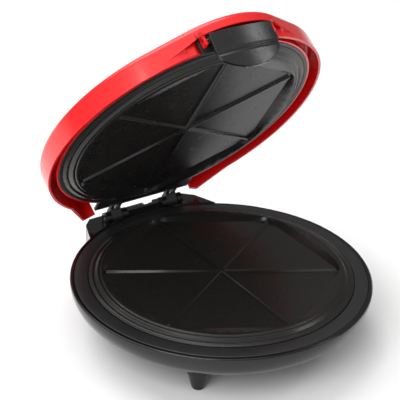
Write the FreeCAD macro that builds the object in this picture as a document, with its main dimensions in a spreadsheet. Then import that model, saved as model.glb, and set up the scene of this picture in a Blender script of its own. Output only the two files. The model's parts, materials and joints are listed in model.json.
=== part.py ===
import FreeCAD, Part
import Sketcher
import math
import os
import re

from FreeCAD import Placement, Rotation, Vector

# A round countertop quesadilla maker with a hinged lid, shown opened.
# Lengths are millimetres, +Z is up, the front is -Y and the hinge axis runs along X at the back.
# The origin is on the table, under the middle of the opened appliance.
# Every piece is drawn round the plate axis, with z counted from the rim of the lower cavity and
# the lid shut. A piece of the lid is then turned about the hinge axis by the opening angle.

# Driving dimensions
DIMENSIONS = {
    # where the drawing frame stands
    "plate_height": 66.0,
    "plate_axis_y": -8.6,
    "lid_angle": 55.3,
    "closed_gap": 1.0,
    # bowl of the base
    "rim_width": 4.0,
    "rim_drop": 6.6,
    "rim_round": 1.6,
    "shoulder_drop": 9.0,
    "side_bend": 26.0,
    "bowl_flank": 58.0,
    "bowl_depth": 47.0,
    "housing_wall": 2.5,
    "ledge_width": 3.0,
    "ledge_thickness": 2.6,
    # deck ring round the lower plate
    "deck_drop": 6.3,
    "deck_thickness": 3.1,
    "deck_gap": 0.4,
    "deck_width": 13.0,
    "deck_rise": 0.7,
    "deck_inner_ledge": 5.0,
    "deck_ledge_thickness": 2.4,
    # cooking plates
    "plate_radius": 128.0,
    "plate_edge_drop": 5.3,
    "flange_underside": 8.2,
    "plate_underside": 7.2,
    "plate_gap": 0.6,
    "plate_border": 13.5,
    "cavity_depth": 4.0,
    "crest_width": 0.8,
    "bead_inset": 9.5,
    "bead_drop": 1.6,
    "ring_inset": 3.8,
    "ring_drop": 3.9,
    "bead_half": 1.6,
    "bead_rise": 0.6,
    "plate_flange": 7.0,
    "rib_drop": 1.6,
    "rib_top_width": 2.0,
    "rib_foot_width": 4.4,
    "rib_end_gap": 3.5,
    # heater and reflector
    "element_radius": 86.0,
    "element_tube": 3.2,
    "element_gap": 40.0,
    "element_seat": 0.2,
    "cold_end": 13.0,
    "cold_end_radius": 3.04,
    "reflector_depth": 17.0,
    "sheet": 0.6,
    "reflector_flare": 6.0,
    "reflector_inset": 10.0,
    "reflector_rim_drop": 10.5,
    "wire_hole": 5.0,
    # towers, bosses and screws
    "tower_circle": 55.0,
    "tower_radius": 5.0,
    "screw_radius": 1.6,
    "screw_play": 0.2,
    "head_radius": 3.4,
    "head_height": 2.2,
    "head_room": 9.0,
    "strap": 1.0,
    "strap_width": 9.0,
    "strap_play": 0.2,
    # feet
    "foot_offset": 75.0,
    "foot_seat_radius": 11.6,
    "foot_seat_rise": 7.0,
    "peg_radius": 4.0,
    "peg_height": 5.0,
    "foot_top_radius": 11.0,
    "foot_tip_radius": 6.4,
    "pad_radius": 5.4,
    "pad_thickness": 2.4,
    "pad_recess": 1.0,
    # hinge
    "hinge_setback": 1.4,
    "hinge_drop": 1.9,
    "pin_radius": 2.0,
    "pin_play": 0.08,
    "press_play": 0.02,
    "knuckle_radius": 5.5,
    "lug_radius": 6.6,
    "arm_inner_x": 27.5,
    "arm_width": 12.0,
    "arm_play": 0.5,
    "lug_width": 6.0,
    "knuckle_room": 0.5,
    # block behind the base that carries the hinge
    "block_root_x": 76.0,
    "block_corner_x": 66.5,
    "block_corner_proud": 2.0,
    "block_back_x": 57.0,
    "block_proud": 11.5,
    "block_top_drop": 5.2,
    "block_bottom_drop": 30.0,
    "block_roof": 7.3,
    "block_wall": 2.6,
    "bar_top": 1.4,
    "bar_depth": 8.5,
    "notch_slope_x": 2.5,
    "notch_left_x": 10.0,
    "notch_right_x": 14.5,
    "notch_drop": 8.6,
    "gland_radius": 5.0,
    "gland_drop": 20.0,
    "wire_way_reach": 10.0,
    # shell of the lid
    "lid_setback": 1.6,
    "lid_rim_lift": 2.8,
    "lid_wall": 2.4,
    "lid_shoulder_lift": 26.6,
    "brow_width": 9.0,
    "dome_lift": 40.0,
    "shoulder_round": 6.0,
    "nose_proud": 11.6,
    "nose_radius": 84.0,
    "ear_root_x": 94.0,
    "ear_tip_x": 69.5,
    "ear_proud": 1.1,
    "ear_inner_x": 58.5,
    "lid_back_inset": 5.9,
    "rear_opening_lift": 17.5,
    "skirt_gap": 0.1,
    "frame_width": 3.5,
    "skirt_wall": 2.0,
    "skirt_lift": 7.0,
    "arch_foot_x": 82.0,
    "arch_foot_lift": 4.6,
    "arch_top_x": 38.0,
    "arch_top_lift": 14.5,
    "hood_wall_step": 0.25,
    "hood_end_x": 51.0,
    "hood_gap_x": 42.0,
    "hood_gap_lift": 19.0,
    "cheek_inner_x": 34.5,
    "cheek_thickness": 3.0,
    "cheek_reach": 6.5,
    "cheek_bottom_lift": 5.5,
    "cheek_top_lift": 23.5,
    "shell_tower_x": 33.5,
    "tower_back_gap": 4.2,
    "shell_tower_radius": 4.0,
    # frame that holds the upper plate
    "frame_lift": 6.5,
    "frame_play": 0.4,
    "frame_back_gap": 1.5,
    "frame_back_x": 56.0,
    "frame_plate": 3.0,
    "frame_ledge": 4.0,
    "frame_depth": 5.5,
    "arm_plate": 3.0,
    "arm_length": 8.2,
    "arm_back": 1.0,
    "arm_screw_length": 15.0,
    # latch
    "latch_pivot_inset": 2.0,
    "latch_pivot_lift": 11.0,
    "latch_clearance": 6.3,
    "latch_lean": 12.0,
    "latch_plate": 2.2,
    "latch_bend": 150.0,
    "latch_half_width": 32.6,
    "latch_top_lift": 14.2,
    "latch_tip_drop": 24.2,
    "latch_corner_round": 13.0,
    "latch_foot_round": 44.0,
    "latch_lip": 1.2,
    "latch_lip_drop": 7.0,
    "latch_boss_radius": 3.6,
    "latch_pin_radius": 1.5,
    "latch_web_height": 5.2,
    "hook_half_width": 12.0,
    "hook_reach": 1.3,
    "hook_height": 2.4,
    "bracket_gap": 0.4,
    "bracket_thickness": 2.4,
    "bracket_lift": 0.5,
    # indicator lights
    "lamp_x": 14.0,
    "lamp_inset": 40.4,
    "lens_radius": 4.2,
    "lens_play": 0.2,
    "lens_depth": 5.0,
    "lens_proud": 1.2,
    "lamp_radius": 3.0,
    "lamp_length": 8.0,
    # wiring and safety parts
    "wire_radius": 1.2,
    "thermostat_radius": 9.0,
    "thermostat_height": 5.0,
    "fuse_radius": 2.5,
    "fuse_length": 16.0,
    "fuse_saddle": 6.0,
    "fuse_y": 30.0,
    "terminal_width": 30.0,
    "terminal_depth": 14.0,
    "terminal_height": 11.0,
    "terminal_y": 62.0,
    "gland_bore_radius": 3.0,
    "gland_flange": 7.0,
    "gland_proud": 1.6,
    "gland_length": 9.0,
}

# Sizes that follow from the ones above
DERIVED = {
    "rim_inner_radius": "(plate_radius + plate_gap + deck_width + deck_gap)",
    "rim_radius": "(rim_inner_radius + rim_width)",
    "floor_radius": "(rim_radius - bowl_flank)",
    "foot_seat_drop": "(bowl_depth)",
    "cavity_radius": "(plate_radius - plate_border)",
    "bead_radius": "(plate_radius - bead_inset)",
    "ring_radius": "(plate_radius - ring_inset)",
    "plate_step_radius": "(plate_radius - plate_flange)",
    "rib_end_radius": "(cavity_radius - rib_end_gap)",
    "reflector_rim_radius": "(plate_radius - reflector_inset)",
    "reflector_radius": "(reflector_rim_radius - reflector_flare)",
    "hinge_y": "(rim_radius - hinge_setback)",
    "block_corner_y": "(rim_radius + block_corner_proud)",
    "block_back_y": "(rim_radius + block_proud)",
    "inlet_inner_y": "(rim_radius - wire_way_reach)",
    "lid_radius": "(rim_radius - lid_setback)",
    "nose_reach": "(lid_radius + nose_proud)",
    "ear_tip_y": "(lid_radius + ear_proud)",
    "lid_back_y": "(lid_radius - lid_back_inset)",
    "frame_radius": "(plate_radius + frame_play + frame_width)",
    "skirt_radius": "(frame_radius + skirt_gap + skirt_wall)",
    "frame_back_y": "(lid_back_y - frame_back_gap)",
    "shell_tower_y": "(frame_back_y - tower_back_gap)",
    "arm_front_y": "(frame_back_y - arm_length)",
    "latch_pivot_y": "(rim_radius - latch_pivot_inset)",
    "latch_face_y": "(rim_radius + latch_clearance + latch_plate)",
    "bracket_y": "(latch_pivot_y - latch_boss_radius - bracket_gap - bracket_thickness)",
    "cheek_front_y": "(bracket_y + bracket_thickness + cheek_reach)",
    "lamp_y": "(lid_radius - lamp_inset)",
}

SHEET = "Dim"
FULL_TURN = 360

# Placement of the two carriers, written with the aliases of the sheet
HINGE_Z = "(-hinge_drop)"
LID_Y = ("plate_axis_y + hinge_y - hinge_y * cos(lid_angle) - " + HINGE_Z + " * sin(lid_angle)")
LID_Z = ("plate_height + " + HINGE_Z + " - " + HINGE_Z + " * cos(lid_angle) + hinge_y * sin(lid_angle)")

doc = FreeCAD.newDocument("quesadilla_maker")
nodes = []


def make_sheet():
    """Write the driving dimensions into the spreadsheet."""
    sheet = doc.addObject("Spreadsheet::Sheet", SHEET)
    for row, (alias, size) in enumerate(DIMENSIONS.items(), start=1):
        cell = "A%d" % row
        sheet.set(cell, "%g" % size)
        sheet.setAlias(cell, alias)
    doc.recompute()
    return sheet


sheet = make_sheet()


def written_out(text):
    """Replace each derived size by the driving dimensions that it follows from."""
    before = None
    while text != before:
        before = text
        text = re.sub(r"[a-z][a-z_0-9]*", lambda m: DERIVED.get(m[0], m[0]), text)
    return text


def bound(text):
    """Give an expression the sheet's name before each alias."""
    return re.sub(r"[a-z][a-z_0-9]*", lambda m: SHEET + "." + m[0] if m[0] in DIMENSIONS else m[0],
                  written_out(text))


def value(text):
    """The number that an expression has now."""
    return float(sheet.evalExpression(written_out(text)))


def bind(item, path, text):
    item.setExpression(path, bound(text))


# Sketches

def plane_of(body, role):
    return [item for item in body.Origin.OriginFeatures if item.Role == role][0]


def arc_centre(start, end, radius):
    """Centre of the short arc from start to end, on the left of the way when radius is positive."""
    chord = end - start
    half = chord.Length / 2
    rise = math.sqrt(max(radius * radius - half * half, 0.0))
    left = Vector(-chord.y, chord.x, 0).normalize()
    return (start + end) * 0.5 + left * math.copysign(rise, radius)


def add_loop(sketch, outline):
    """Draw one closed loop. A point is (x, y), or (x, y, radius) where an arc starts."""
    spots = [Vector(value(p[0]), value(p[1]), 0) for p in outline]
    first = sketch.GeometryCount
    count = len(outline)
    starts = []
    for i, point in enumerate(outline):
        here, there = spots[i], spots[(i + 1) % count]
        if len(point) == 2:
            sketch.addGeometry(Part.LineSegment(here, there), False)
            starts.append((1, 2))
            continue
        radius = value(point[2])
        centre = arc_centre(here, there, radius)
        turn_here = math.atan2(here.y - centre.y, here.x - centre.x)
        turn_there = math.atan2(there.y - centre.y, there.x - centre.x)
        circle = Part.Circle(centre, Vector(0, 0, 1), abs(radius))
        if radius > 0:
            sketch.addGeometry(Part.ArcOfCircle(circle, turn_here, turn_there), False)
            starts.append((1, 2))
        else:
            sketch.addGeometry(Part.ArcOfCircle(circle, turn_there, turn_here), False)
            starts.append((2, 1))
    for i in range(count):
        after = (i + 1) % count
        sketch.addConstraint(Sketcher.Constraint("Coincident", first + i, starts[i][1],
                                                 first + after, starts[after][0]))
    for i, point in enumerate(outline):
        for kind, text, size in (("DistanceX", point[0], spots[i].x), ("DistanceY", point[1], spots[i].y)):
            index = sketch.addConstraint(Sketcher.Constraint(kind, -1, 1, first + i, starts[i][0], size))
            bind(sketch, "Constraints[%d]" % index, text)
        if len(point) == 3:
            size = abs(value(point[2]))
            index = sketch.addConstraint(Sketcher.Constraint("Radius", first + i, size))
            bind(sketch, "Constraints[%d]" % index, "abs(" + point[2] + ")")


def add_circle(sketch, x, y, radius):
    """Draw one circle with its centre and radius bound."""
    geometry = Part.Circle(Vector(value(x), value(y), 0), Vector(0, 0, 1), value(radius))
    index = sketch.addGeometry(geometry, False)
    for kind, text in (("DistanceX", x), ("DistanceY", y)):
        number = sketch.addConstraint(Sketcher.Constraint(kind, -1, 1, index, 3, value(text)))
        bind(sketch, "Constraints[%d]" % number, text)
    number = sketch.addConstraint(Sketcher.Constraint("Radius", index, value(radius)))
    bind(sketch, "Constraints[%d]" % number, radius)


def sketch_on(body, name, role, loops=(), circles=(), level="0"):
    """A sketch on one of the body's own planes, moved along that plane's normal by level."""
    sketch = body.newObject("Sketcher::SketchObject", name)
    sketch.AttachmentSupport = [(plane_of(body, role), "")]
    sketch.MapMode = "FlatFace"
    bind(sketch, "AttachmentOffset.Base.z", level)
    for loop in loops:
        add_loop(sketch, loop)
    for x, y, radius in circles:
        add_circle(sketch, x, y, radius)
    return sketch


# Features of a body

def settle(body, feature, adds):
    """Recompute, and stop where a feature changed the volume the wrong way or not at all."""
    before = 0.0 if feature.BaseFeature is None else feature.BaseFeature.Shape.Volume
    doc.recompute()
    after = feature.Shape.Volume
    if (after <= before + 1e-6) if adds else (after >= before - 1e-6):
        raise RuntimeError("%s in %s changes the volume from %.1f to %.1f"
                           % (feature.Name, body.Label, before, after))
    return feature


def turned(body, name, loops, cut=False):
    """Turn closed loops about the Z axis, adding or cutting."""
    sketch = sketch_on(body, name + "_sketch", "XZ_Plane", loops)
    kind = "PartDesign::Groove" if cut else "PartDesign::Revolution"
    feature = body.newObject(kind, name)
    feature.Profile = sketch
    feature.ReferenceAxis = (sketch, ["V_Axis"])
    feature.Angle = FULL_TURN
    return settle(body, feature, not cut)


def padded(body, name, role, low, high, loops=(), circles=()):
    """Fill loops or circles from level low to level high along the plane's normal."""
    sketch = sketch_on(body, name + "_sketch", role, loops, circles, low)
    feature = body.newObject("PartDesign::Pad", name)
    feature.Profile = sketch
    bind(feature, "Length", "(" + high + ") - (" + low + ")")
    return settle(body, feature, True)


def pocketed(body, name, role, low, high, loops=(), circles=()):
    """Cut loops or circles from level low to level high along the plane's normal."""
    sketch = sketch_on(body, name + "_sketch", role, loops, circles, low)
    feature = body.newObject("PartDesign::Pocket", name)
    feature.Profile = sketch
    feature.Reversed = True
    bind(feature, "Length", "(" + high + ") - (" + low + ")")
    return settle(body, feature, False)


def patterned(body, name, feature, count):
    """Repeat a feature evenly round the Z axis."""
    pattern = body.newObject("PartDesign::PolarPattern", name)
    pattern.Originals = [feature]
    pattern.Axis = (plane_of(body, "Z_Axis"), [""])
    pattern.Angle = FULL_TURN
    pattern.Occurrences = count
    body.Tip = pattern
    doc.recompute()
    return pattern


def mirrored(body, name, features):
    """Mirror features across the middle plane X = 0."""
    mirror = body.newObject("PartDesign::Mirrored", name)
    mirror.Originals = features
    mirror.MirrorPlane = (plane_of(body, "YZ_Plane"), [""])
    body.Tip = mirror
    doc.recompute()
    return mirror


def rounded(body, name, keep, radius):
    """Fillet the tip's edges that keep accepts, each edge given by its shape."""
    base = body.Tip
    edges = ["Edge%d" % (i + 1) for i, edge in enumerate(base.Shape.Edges) if keep(edge)]
    feature = body.newObject("PartDesign::Fillet", name)
    feature.Base = (base, edges)
    bind(feature, "Radius", radius)
    doc.recompute()
    return feature


# Part primitives, for the small turned and sheet pieces

def cylinder(radius, length, x="0", y="0", low="0", along="Z"):
    """A cylinder from (x, y, low) along Z, X or -Y."""
    item = doc.addObject("Part::Cylinder", "cylinder")
    bind(item, "Radius", radius)
    bind(item, "Height", length)
    turn = {"Z": Rotation(), "X": Rotation(Vector(0, 1, 0), 90), "-Y": Rotation(Vector(1, 0, 0), 90)}
    item.Placement = Placement(Vector(), turn[along])
    for axis, text in (("x", x), ("y", y), ("z", low)):
        bind(item, "Placement.Base." + axis, text)
    return item


def block(x, y, low, length, width, height, turn=0.0):
    """A box from its lowest corner, turned about the Z axis through the origin."""
    item = doc.addObject("Part::Box", "block")
    bind(item, "Length", length)
    bind(item, "Width", width)
    bind(item, "Height", height)
    for axis, text in (("x", x), ("y", y), ("z", low)):
        bind(item, "Placement.Base." + axis, text)
    return spun(item, turn) if turn else item


def spun(item, turn):
    """The item turned about the Z axis by a fixed number of degrees."""
    holder = doc.addObject("Part::Compound", "spun")
    holder.Links = [item]
    holder.Placement = Placement(Vector(), Rotation(Vector(0, 0, 1), turn))
    return holder


def fused(*items):
    result = doc.addObject("Part::MultiFuse", "fused")
    result.Shapes = list(items)
    return result


def cut_from(base, *tools):
    result = doc.addObject("Part::Cut", "cut")
    result.Base = base
    result.Tool = tools[0] if len(tools) == 1 else fused(*tools)
    return result


def common(name, base, tool):
    result = doc.addObject("Part::Common", name)
    result.Base = base
    result.Tool = tool
    return result


def gathered(*items):
    result = doc.addObject("Part::Compound", "group")
    result.Links = list(items)
    return result


def new_body(label):
    body = doc.addObject("PartDesign::Body", label)
    body.Label = label
    return body


def finish(label, item, carrier):
    """Name a finished piece and place it with the base or with the opened lid."""
    if item.TypeId in ("Part::Cylinder", "Part::Box"):
        item = gathered(item)
    item.Label = label
    if carrier == "base":
        bind(item, "Placement.Base.y", "plate_axis_y")
        bind(item, "Placement.Base.z", "plate_height")
    else:
        item.Placement = Placement(Vector(), Rotation(Vector(-1, 0, 0), value("lid_angle")))
        bind(item, "Placement.Rotation.Angle", "lid_angle")
        bind(item, "Placement.Base.y", LID_Y)
        bind(item, "Placement.Base.z", LID_Z)
    nodes.append((label, item))


# Shared shapes, written as expressions

def at(radius, degrees):
    """The x and y of a point on a circle round the plate axis."""
    return "(%s) * cos(%g)" % (radius, degrees), "(%s) * sin(%g)" % (radius, degrees)


def box_loop(x0, x1, y0, y1):
    return [(x0, y0), (x1, y0), (x1, y1), (x0, y1)]


def ring_loop(inner, outer, low, high):
    """The section of a plain ring."""
    return [(inner, low), (outer, low), (outer, high), (inner, high)]


TOWERS = (-90, 30, 150)
FEET = (("front_left", -1, -1), ("front_right", 1, -1), ("rear_left", -1, 1), ("rear_right", 1, 1))
SIDES = (("left", -1), ("right", 1))

# Radius of the big bottom bend, from the side bend, the flat floor and the depth
BEND_RUN = "(rim_radius - side_bend - floor_radius)"
BEND_FALL = "(bowl_depth - shoulder_drop)"
FLOOR_BEND = "((%s^2 + %s^2 - side_bend^2) / (2 * (%s - side_bend)))" % (BEND_RUN, BEND_FALL, BEND_FALL)
BEND_GAP = "(%s - side_bend)" % FLOOR_BEND


def bend_point(radius):
    """Where the side bend of this radius meets the bottom bend."""
    x = "rim_radius - side_bend + %s * (%s) / %s" % (BEND_RUN, radius, BEND_GAP)
    z = "-shoulder_drop - (%s - %s) * (%s) / %s" % (FLOOR_BEND, BEND_FALL, radius, BEND_GAP)
    return x, z


def block_plan(inset):
    """Outline of the rear block, drawn inside its outer faces by inset."""
    inner = "(rim_radius - %s)" % ("2" if inset == "0" else "rim_round")
    root_y = "sqrt(%s^2 - (block_root_x - %s)^2)" % (inner, inset)
    right = "(block_root_x - %s)" % inset
    return [(right, root_y),
            ("block_corner_x - " + inset, "block_corner_y - %s / 2" % inset),
            ("block_back_x - %s / 2" % inset, "block_back_y - " + inset),
            ("-block_back_x + %s / 2" % inset, "block_back_y - " + inset),
            ("-block_corner_x + " + inset, "block_corner_y - %s / 2" % inset),
            ("-" + right, root_y, "-" + inner)]


def lug_loop(radius, low, front):
    """Side view of a hinge lug: a round top on a foot."""
    return [("hinge_y + " + radius, low), ("hinge_y + " + radius, HINGE_Z, radius),
            ("hinge_y", HINGE_Z + " + " + radius, radius), ("hinge_y - " + radius, HINGE_Z),
            (front, "-block_top_drop"), (front, low)]


# Base

def make_base_housing():
    body = new_body("base_housing")
    wall = "housing_wall"
    inner_x = "rim_radius - housing_wall"
    outer = bend_point("side_bend")
    inner = bend_point("side_bend - housing_wall")
    turned(body, "bowl", [[
        ("rim_inner_radius", "-rim_drop"),
        ("rim_radius - rim_round", "-rim_drop", "-rim_round"),
        ("rim_radius", "-rim_drop - rim_round"),
        ("rim_radius", "-shoulder_drop", "-side_bend"),
        (outer[0], outer[1], "-" + FLOOR_BEND),
        ("floor_radius", "-bowl_depth"),
        ("0", "-bowl_depth"),
        ("0", "-bowl_depth + " + wall),
        ("floor_radius", "-bowl_depth + " + wall, "%s - %s" % (FLOOR_BEND, wall)),
        (inner[0], inner[1], "side_bend - " + wall),
        (inner_x, "-shoulder_drop"),
        ("rim_inner_radius", "-shoulder_drop")]])
    ledge_z = "-deck_drop - deck_thickness"
    ledge_low = ledge_z + " - ledge_thickness"
    turned(body, "ledge", [[
        ("rim_inner_radius - ledge_width", ledge_low), (inner_x + " + 0.4", ledge_low),
        (inner_x + " + 0.4", "-shoulder_drop + 0.2"), ("rim_inner_radius", "-shoulder_drop + 0.2"),
        ("rim_inner_radius", ledge_z), ("rim_inner_radius - ledge_width", ledge_z)]])
    padded(body, "rear_block", "XY_Plane", "-block_bottom_drop", "-block_top_drop", [block_plan("0")])
    pocketed(body, "block_hollow", "XY_Plane", "-block_bottom_drop", "-block_top_drop - block_roof",
             [block_plan("block_wall")])
    bar_front = "rim_inner_radius + 0.3"
    padded(body, "bar", "XY_Plane", "-block_top_drop - 2", "bar_top",
           [box_loop("-arm_inner_x + arm_play + lug_width", "arm_inner_x - arm_play - lug_width", bar_front,
                     bar_front + " + bar_depth")])
    outer_lug = "arm_inner_x + arm_width + arm_play"
    inner_lug = "arm_inner_x - arm_play - lug_width"
    lugs = []
    for name, low in (("inner_lug", inner_lug), ("outer_lug", outer_lug)):
        for side, sign in SIDES:
            start = low if sign > 0 else "-(%s) - lug_width" % low
            lugs.append(padded(body, name + "_" + side, "YZ_Plane", start, start + " + lug_width",
                               [lug_loop("lug_radius", "-block_top_drop - 3", "rim_inner_radius - 0.5")]))
    for side, sign in SIDES:
        start = "arm_inner_x - arm_play" if sign > 0 else "-arm_inner_x - arm_width - arm_play"
        pocketed(body, "knuckle_room_" + side, "YZ_Plane", start, start + " + arm_width + 2 * arm_play",
                 circles=[("hinge_y", HINGE_Z, "knuckle_radius + knuckle_room")])
    for side, sign in SIDES:
        start = inner_lug if sign > 0 else "-(%s) - lug_width" % outer_lug
        pocketed(body, "pin_bore_" + side, "YZ_Plane", start, "%s + (%s) - (%s) + lug_width"
                 % (start, outer_lug, inner_lug), circles=[("hinge_y", HINGE_Z, "pin_radius + press_play")])
    pocketed(body, "notch", "XZ_Plane", "-block_back_y - 1", "-%s" % "rim_radius", [[
        ("notch_slope_x", "bar_top + 1"), ("notch_slope_x", "bar_top"), ("notch_left_x", "-notch_drop"),
        ("notch_right_x", "-notch_drop"), ("notch_right_x", "bar_top + 1")]])
    for name, sx, sy in FEET:
        x = "%d * foot_offset" % sx
        y = "%d * foot_offset" % sy
        padded(body, "foot_seat_" + name, "XY_Plane", "-foot_seat_drop", "-foot_seat_drop + foot_seat_rise",
               circles=[(x, y, "foot_seat_radius")])
        pocketed(body, "foot_bore_" + name, "XY_Plane", "-bowl_depth", "-foot_seat_drop + foot_seat_rise",
                 circles=[(x, y, "peg_radius + press_play")])
    tops = [at("tower_circle", turn) for turn in TOWERS]
    padded(body, "towers", "XY_Plane", "-bowl_depth", "-reflector_depth - sheet",
           circles=[(x, y, "tower_radius") for x, y in tops])
    pocketed(body, "tower_bores", "XY_Plane", "-bowl_depth", "-reflector_depth",
             circles=[(x, y, "screw_radius + screw_play") for x, y in tops])
    pocketed(body, "head_rooms", "XY_Plane", "-bowl_depth - 1", "-bowl_depth + head_room",
             circles=[(x, y, "head_radius + screw_play") for x, y in tops])
    pocketed(body, "wire_way", "XZ_Plane", "-rim_radius - 1", "-inlet_inner_y",
             circles=[("0", "-gland_drop", "gland_radius - 1")])
    pocketed(body, "gland_bore", "XZ_Plane", "-block_back_y - 1", "-block_back_y + block_wall + 1",
             circles=[("0", "-gland_drop", "gland_radius + press_play")])
    finish("base_housing", body, "base")


def make_base_deck():
    body = new_body("base_deck")
    low = "-deck_drop - deck_thickness"
    inner = "plate_radius + plate_gap"
    shelf = "-flange_underside"
    turned(body, "deck", [[
        (inner + " - deck_inner_ledge", shelf + " - deck_ledge_thickness"),
        ("rim_inner_radius - ledge_width - deck_gap", shelf + " - deck_ledge_thickness"),
        ("rim_inner_radius - ledge_width - deck_gap", low),
        ("rim_inner_radius - deck_gap", low),
        ("rim_inner_radius - deck_gap", "-deck_drop - 0.5"),
        ("rim_inner_radius - deck_gap - 0.5", "-deck_drop"),
        (inner + " + 0.5", "-deck_drop + deck_rise"),
        (inner, "-deck_drop + deck_rise - 0.5"),
        (inner, shelf),
        (inner + " - deck_inner_ledge", shelf)]])
    finish("base_deck", body, "base")


def plate_section(top, sign):
    """Half section of a plate's blank. top is the level of its rim and sign is +1 facing up."""
    def z(drop):
        return "(%s) - (%d) * (%s)" % (top, sign, drop)

    def bead(radius, drop):
        bulge = "(%d) * (bead_half^2 + bead_rise^2) / (2 * bead_rise)" % sign
        return [(radius + " + bead_half", z(drop + " + bead_rise"), bulge),
                (radius + " - bead_half", z(drop + " + bead_rise"))]

    section = [("0", z("plate_underside")), ("plate_step_radius", z("plate_underside")),
               ("plate_step_radius + 1", z("flange_underside")), ("plate_radius", z("flange_underside")),
               ("plate_radius", z("plate_edge_drop"))]
    section += bead("ring_radius", "ring_drop") + bead("bead_radius", "bead_drop")
    section += [("cavity_radius + crest_width", z("0")), ("0", z("0"))]
    return section


def make_plate(label, top, sign, carrier):
    body = new_body(label)
    turned(body, "blank", [plate_section(top, sign)])
    floor_level = "(%s) - (%d) * cavity_depth" % (top, sign)
    corners = [at("cavity_radius", 30 + 60 * i) for i in range(6)]
    floor = sketch_on(body, "cavity_floor", "XY_Plane", [corners], level=floor_level)
    rim = sketch_on(body, "cavity_rim", "XY_Plane", [[(x, y, "cavity_radius") for x, y in corners]], level=top)
    cavity = body.newObject("PartDesign::SubtractiveLoft", "cavity")
    cavity.Profile = floor
    cavity.Sections = [rim]
    cavity.Ruled = True
    settle(body, cavity, False)
    low = "(%s) - (%d) * (cavity_depth + 0.3)" % (top, sign)
    high = "(%s) - (%d) * rib_drop" % (top, sign)
    rib = padded(body, "rib", "XZ_Plane", "-rib_end_radius", "rib_end_radius", [[
        ("-rib_foot_width / 2", low), ("rib_foot_width / 2", low),
        ("rib_top_width / 2", high), ("-rib_top_width / 2", high)]])
    patterned(body, "ribs", rib, 3)
    spots = [at("tower_circle", turn) for turn in TOWERS]
    under = "(%s) - (%d) * plate_underside" % (top, sign)
    boss_end = "(%s) - (%d) * reflector_depth" % (top, sign)
    ends = (boss_end, under) if sign > 0 else (under, boss_end)
    padded(body, "bosses", "XY_Plane", ends[0], ends[1], circles=[(x, y, "tower_radius") for x, y in spots])
    bore_end = "(%s) - (%d) * (plate_underside + 1)" % (top, sign)
    ends = (boss_end, bore_end) if sign > 0 else (bore_end, boss_end)
    pocketed(body, "boss_bores", "XY_Plane", ends[0], ends[1],
             circles=[(x, y, "screw_radius + press_play") for x, y in spots])
    finish(label, body, carrier)


def tube_between(start, end, radius):
    """A round rod between two points given as expressions, with a ball at its end."""
    a = Vector(*[value(c) for c in start])
    b = Vector(*[value(c) for c in end])
    rod = doc.addObject("Part::Cylinder", "rod")
    bind(rod, "Radius", radius)
    bind(rod, "Height", "sqrt((%s - (%s))^2 + (%s - (%s))^2 + (%s - (%s))^2)"
         % (end[0], start[0], end[1], start[1], end[2], start[2]))
    rod.Placement = Placement(Vector(), Rotation(Vector(0, 0, 1), b - a))
    ball = doc.addObject("Part::Sphere", "ball")
    bind(ball, "Radius", "0.98 * " + radius)
    for item, point in ((rod, start), (ball, end)):
        for axis, text in zip("xyz", point):
            bind(item, "Placement.Base." + axis, text)
    return [rod, ball]


def run(points, radius):
    """A wire or tube through a list of points."""
    pieces = []
    for start, end in zip(points, points[1:]):
        pieces += tube_between(start, end, radius)
    return fused(*pieces[:-1])


def element_level(top, sign):
    return "(%s) - (%d) * (plate_underside + element_seat + element_tube)" % (top, sign)


def make_element(label, top, sign, carrier):
    """A heating ring with a gap at the back, its two cold ends turned away from the plate."""
    level = element_level(top, sign)
    body = new_body(label + "_ring")
    sketch = sketch_on(body, "section", "YZ_Plane", circles=[("-element_radius", level, "element_tube")])
    bend = body.newObject("PartDesign::Revolution", "bend")
    bend.Profile = sketch
    bend.ReferenceAxis = (sketch, ["V_Axis"])
    bend.Midplane = True
    bind(bend, "Angle", "360 - element_gap")
    settle(body, bend, True)
    pieces = [body]
    for side in (-1, 1):
        x = "(%d) * element_radius * sin(element_gap / 2)" % side
        y = "element_radius * cos(element_gap / 2)"
        pieces += tube_between((x, y, "%s - (%d) * cold_end" % (level, sign)), (x, y, level), "cold_end_radius")
    finish(label, fused(*pieces), carrier)


def cold_end_spot(side, top, sign):
    """The outer tip of one cold end."""
    return ("(%d) * element_radius * sin(element_gap / 2)" % side, "element_radius * cos(element_gap / 2)",
            "%s - (%d) * cold_end" % (element_level(top, sign), sign))


def make_reflector(label, top, sign, carrier):
    body = new_body(label)

    def z(drop):
        return "(%s) - (%d) * (%s)" % (top, sign, drop)

    turned(body, "dish", [[
        ("0", z("reflector_depth")), ("reflector_radius", z("reflector_depth")),
        ("reflector_rim_radius", z("reflector_rim_drop")),
        ("reflector_rim_radius + sheet", z("reflector_rim_drop")),
        ("reflector_radius + sheet", z("reflector_depth + sheet")), ("0", z("reflector_depth + sheet"))]])
    holes = [at("tower_circle", turn) + ("screw_radius + screw_play",) for turn in TOWERS]
    holes += [cold_end_spot(side, top, sign)[:2] + ("wire_hole",) for side in (-1, 1)]
    ends = (z("reflector_depth + 1"), z("reflector_depth - 0.5"))
    if sign < 0:
        ends = ends[::-1]
    pocketed(body, "holes", "XY_Plane", ends[0], ends[1], circles=holes)
    finish(label, body, carrier)


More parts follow.
